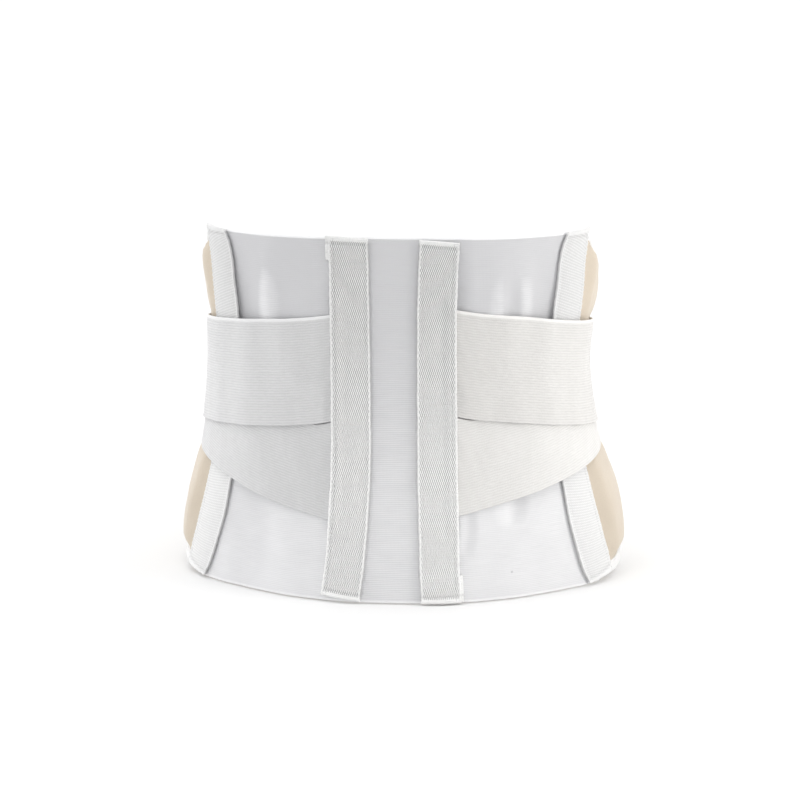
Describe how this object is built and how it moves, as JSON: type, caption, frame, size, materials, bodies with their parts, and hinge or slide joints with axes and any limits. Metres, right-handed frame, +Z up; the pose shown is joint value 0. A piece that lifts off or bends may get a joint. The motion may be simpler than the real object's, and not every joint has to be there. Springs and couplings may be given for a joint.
{
  "type": "work back support belt",
  "caption": "Elastic work back support belt closed as worn: ribbed back panel with stay casings, padded sides, crossing pull straps and a plain hook front",
  "frame": {"origin": "the middle of the opening that the waist fills, at half the belt's height", "axes": "+Z up along the wearer, +Y to the wearer's front, so the back of the belt faces -Y and the wearer's left is -X"},
  "size_m": [0.3223, 0.2209, 0.2546],
  "materials": {
    "ribbed_elastic": "matt ribbed elastic",
    "casing_tape": "matt woven tape",
    "padded_cloth": "matt brushed cloth",
    "binding_tape": "matt woven tape",
    "strap_elastic": "matt ribbed elastic",
    "tab_cloth": "matt cloth",
    "hook_tape": "matt hook tape"
  },
  "bodies": {
    "root": {"back_panel": "ribbed_elastic", "inner_casing_left": "casing_tape", "inner_casing_right": "casing_tape", "outer_casing_left": "casing_tape", "outer_casing_right": "casing_tape", "side_panel_left": "padded_cloth", "side_panel_right": "padded_cloth", "top_binding_left": "binding_tape", "top_binding_right": "binding_tape", "bottom_binding_left": "binding_tape", "bottom_binding_right": "binding_tape", "lower_strap_left": "strap_elastic", "lower_strap_right": "strap_elastic", "upper_strap_left": "strap_elastic", "upper_strap_right": "strap_elastic", "strap_tab_left": "tab_cloth", "strap_tab_right": "tab_cloth", "hook_strip": "hook_tape"}
  },
  "joints": []
}
